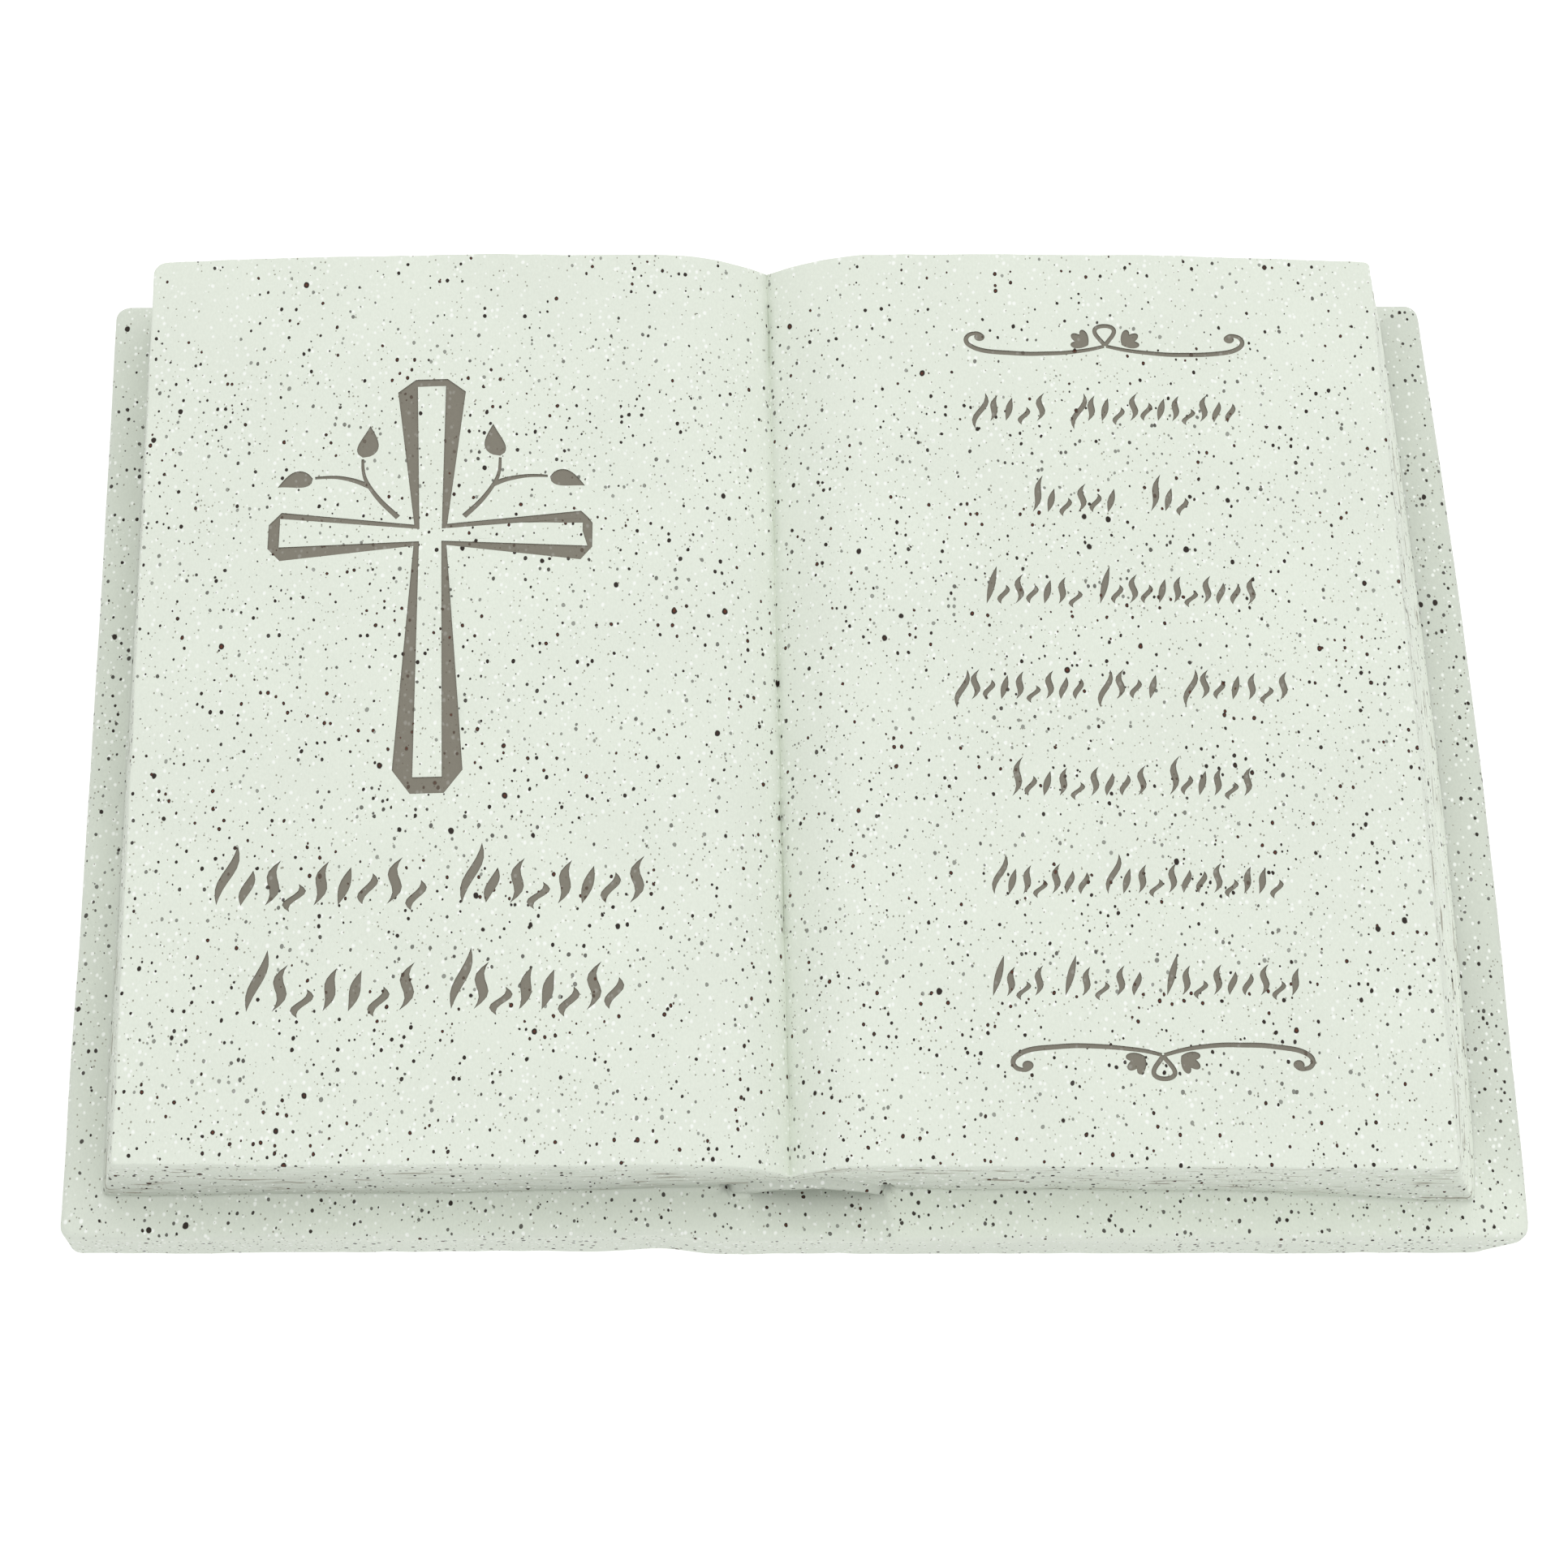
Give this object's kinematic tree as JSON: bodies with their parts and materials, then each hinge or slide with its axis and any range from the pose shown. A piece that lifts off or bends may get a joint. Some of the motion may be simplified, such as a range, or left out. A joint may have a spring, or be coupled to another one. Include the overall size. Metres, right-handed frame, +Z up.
{
  "type": "open book memorial",
  "caption": "Small headstone in the form of an open book, cast in one piece, with sloping crowned pages, a flat cover and shallow carving; it lies on its flat underside.",
  "frame": {"origin": "middle of the underside, under the middle of the overall width and depth", "axes": "+X towards the right-hand page, +Y towards the head of the pages, +Z up out of the pages; the book's width lies along X"},
  "size_m": [0.2182, 0.1598, 0.0319],
  "materials": {
    "cast_stone": "matt pale greenish-white cast stone resin with fine dark, rust and white speckle",
    "carving_paint": "matt warm grey paint in the sunk carving"
  },
  "bodies": {
    "root": {"cast_book": "cast_stone"}
  },
  "joints": []
}
